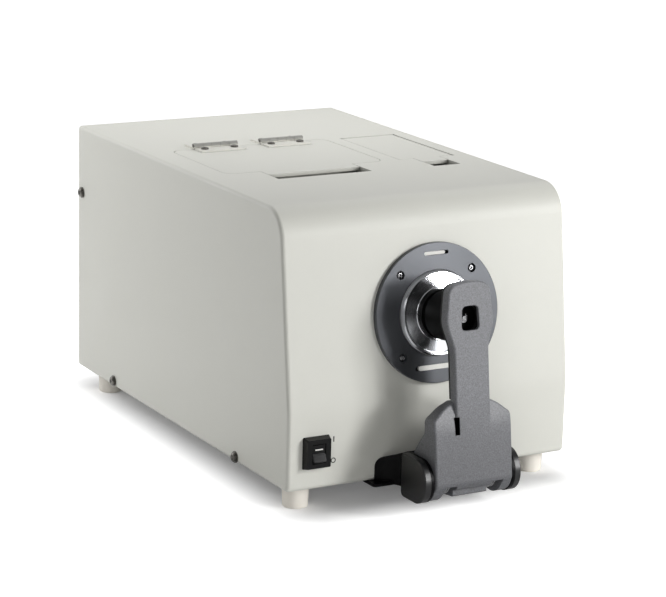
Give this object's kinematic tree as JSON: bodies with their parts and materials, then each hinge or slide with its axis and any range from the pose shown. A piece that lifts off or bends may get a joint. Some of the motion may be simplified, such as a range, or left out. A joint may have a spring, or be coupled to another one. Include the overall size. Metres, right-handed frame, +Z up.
{
  "type": "benchtop colorimeter",
  "caption": "Benchtop integrating-sphere colorimeter with hinged lids over its chamber and selector, a leaning measuring port and a sprung specimen holder.",
  "frame": {"origin": "middle of the whole object's footprint, on the surface that the feet stand on", "axes": "+Z up, +Y from the measuring port towards the rear panel, +X to the right as seen from the front"},
  "size_m": [0.25, 0.4345, 0.2301],
  "materials": {
    "cover": "fine-textured warm off-white",
    "lid": "fine-textured warm off-white",
    "sheet": "folded sheet, satin",
    "foot": "cream",
    "bright": "bright plated",
    "zinc": "plated steel",
    "disc": "dark grey satin",
    "mask": "turned and plated",
    "cast": "grey, fine grain",
    "black": "black",
    "black_matte": "black",
    "white_coat": "white reflecting coat",
    "board": "green laminate",
    "spring": "spring steel",
    "glass": "clear",
    "seal": "black foam",
    "box": "black light-tight"
  },
  "bodies": {
    "housing": {"cover_shell": "cover", "base_plate": "sheet", "feet": "foot", "rear_panel": "sheet", "foot_screws": "zinc", "cover_screws": "bright", "cover_washers": "bright", "rear_screws": "zinc", "transmission_chamber": "box", "lid_seal": "seal", "selector_well": "box", "selector_lid_pins": "zinc", "hinge_leaves_fixed": "bright", "hinge_pins": "bright", "hinge_screws_fixed": "bright", "port_disc": "disc", "port_disc_screws": "zinc", "target_mask": "mask", "sphere_front": "white_coat", "sphere_rear": "white_coat", "sphere_bolts": "zinc", "sphere_stand": "sheet", "lamp_housings": "black_matte", "flash_tubes": "glass", "lens_bench": "sheet", "lens_rails": "zinc", "spectral_sensor": "black_matte", "main_board": "board", "power_board": "board", "board_spacers": "zinc", "flash_capacitors": "black_matte", "dc_inlet": "black_matte", "data_socket": "black_matte", "switch_housing": "black", "holder_base": "black", "bracket_screws": "zinc", "pivot_pin": "zinc", "end_caps": "black"},
    "chamber_lid": {"chamber_lid": "lid", "hinge_leaves_moving": "bright", "hinge_screws_moving": "bright"},
    "selector_lid": {"selector_lid": "lid"},
    "holder": {"arm_shell": "cast", "arm_back": "cast", "arm_screws": "zinc", "pad_sleeve": "black", "torsion_springs": "spring"},
    "plunger": {"pad": "black_matte", "pad_stem": "zinc", "stem_clip": "zinc", "pad_spring": "spring"},
    "rocker": {"rocker": "black"},
    "lens_carriage": {"lens_carriage": "black_matte", "lens": "glass", "selector_knob": "black_matte"}
  },
  "joints": [
    {"name": "chamber_lid_hinge", "type": "hinge", "parent": "housing", "child": "chamber_lid", "pos_m": [-0.02875, 0.0893, 0.22795], "axis": [-1, 0, 0], "range_deg": [0, 105]},
    {"name": "selector_lid_hinge", "type": "hinge", "parent": "housing", "child": "selector_lid", "pos_m": [0.08, 0.0837, 0.22415], "axis": [-1, 0, 0], "range_deg": [0, 95]},
    {"name": "holder_pivot", "type": "hinge", "parent": "housing", "child": "holder", "pos_m": [0.0046, -0.19935, 0.0275], "axis": [1, 0, 0], "range_deg": [0, 90], "stiffness_Nm_per_rad": 0.35, "springref_deg": -34.38},
    {"name": "pad_slide", "type": "slide", "parent": "holder", "child": "plunger", "axis": [0, -0.9923, 0.1236], "range_m": [0, 0.005], "stiffness_N_per_m": 600, "springref_m": -0.004, "deforming": ["pad_spring"]},
    {"name": "power_rocker", "type": "hinge", "parent": "housing", "child": "rocker", "pos_m": [-0.0986, -0.16345, 0.0466], "axis": [1, 0, 0], "range_deg": [0, 16]},
    {"name": "lens_slide", "type": "slide", "parent": "housing", "child": "lens_carriage", "axis": [0, 1, 0], "range_m": [0, 0.02]}
  ]
}
